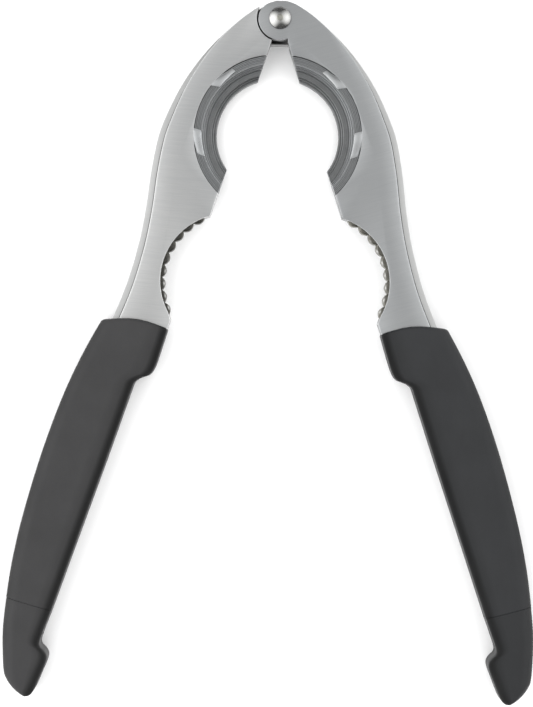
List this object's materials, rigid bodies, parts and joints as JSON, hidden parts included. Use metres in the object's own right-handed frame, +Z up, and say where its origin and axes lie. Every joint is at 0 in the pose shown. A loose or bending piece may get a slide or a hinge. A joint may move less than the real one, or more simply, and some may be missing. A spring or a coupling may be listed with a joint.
{
  "type": "nutcracker",
  "caption": "Hand nutcracker: two riveted metal arms with stepped ring jaws, serrated jaws and hooked soft grips.",
  "frame": {"origin": "middle of the bottom of the box; the tool lies flat on its back with the arms part open", "axes": "+X across the tool, +Y from the handles to the pivot, +Z up out of the front face"},
  "size_m": [0.1418, 0.1869, 0.013],
  "materials": {
    "arm_metal": "satin, finely brushed across the arm",
    "ring_metal": "turned, darker than the arms",
    "tooth_metal": "as cast, unpolished",
    "rivet_metal": "polished",
    "plated_steel": "zinc plated",
    "grip_plastic": "dark grey soft-touch, fine grain",
    "cap_plastic": "dark grey soft-touch, fine grain"
  },
  "bodies": {
    "left_lever": {"left_arm": "arm_metal", "left_ring_jaw": "ring_metal", "left_serrated_jaw": "tooth_metal", "left_grip": "grip_plastic", "left_end_cap": "cap_plastic", "left_cap_screw": "plated_steel", "pivot_rivet": "rivet_metal", "rear_washer": "plated_steel", "lap_washer": "plated_steel"},
    "right_lever": {"right_arm": "arm_metal", "right_ring_jaw": "ring_metal", "right_serrated_jaw": "tooth_metal", "right_grip": "grip_plastic", "right_end_cap": "cap_plastic", "right_cap_screw": "plated_steel"}
  },
  "joints": [
    {"name": "arm_pivot", "type": "hinge", "parent": "left_lever", "child": "right_lever", "pos_m": [0, 0.08855, 0.0065], "axis": [0, 0, 1], "range_deg": [-36.3, 104]}
  ]
}
